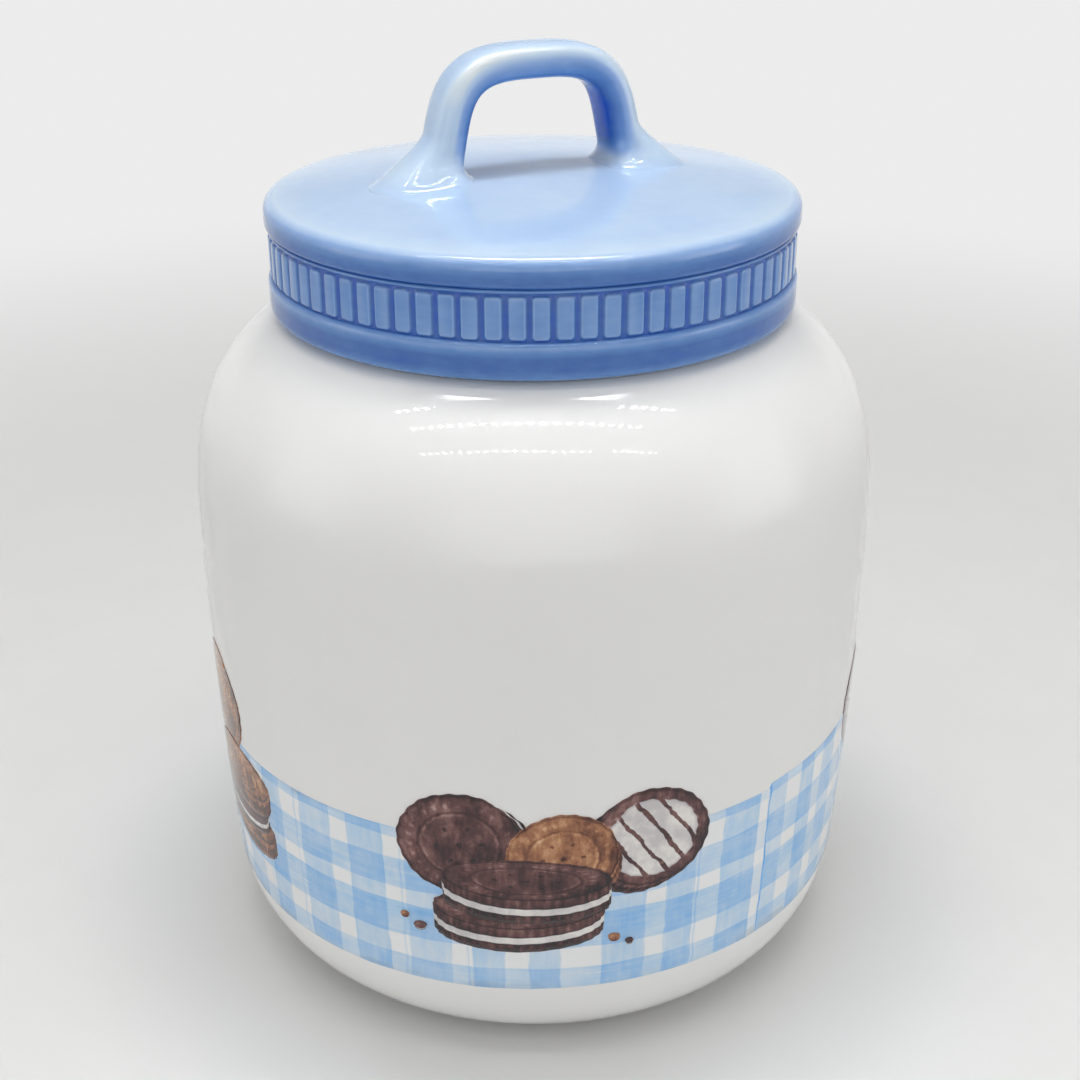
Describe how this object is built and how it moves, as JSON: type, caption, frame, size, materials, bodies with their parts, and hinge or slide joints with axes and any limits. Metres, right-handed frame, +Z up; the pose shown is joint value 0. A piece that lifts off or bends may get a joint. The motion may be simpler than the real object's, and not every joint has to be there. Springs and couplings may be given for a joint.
{
  "type": "biscuit jar",
  "caption": "Rounded stoneware biscuit jar with a drop-on cap lid, a ribbed band round the lid's skirt and a looped strap handle on top.",
  "frame": {"origin": "middle of the jar's foot, on the table", "axes": "+Z up along the jar's axis, +X along the lid's handle"},
  "size_m": [0.18, 0.18, 0.2437],
  "materials": {
    "white_glaze": "glossy white glaze with a printed band near the foot",
    "blue_glaze": "glossy translucent blue glaze, pale on edges and deep in grooves",
    "silicone": "satin"
  },
  "bodies": {
    "jar": {"jar_body": "white_glaze"},
    "lid": {"lid_cap": "blue_glaze", "lid_handle": "blue_glaze", "seal_ring": "silicone"}
  },
  "joints": [
    {"name": "lid_lift", "type": "slide", "parent": "jar", "child": "lid", "axis": [0, 0, 1], "range_m": [0, 0.15]}
  ]
}
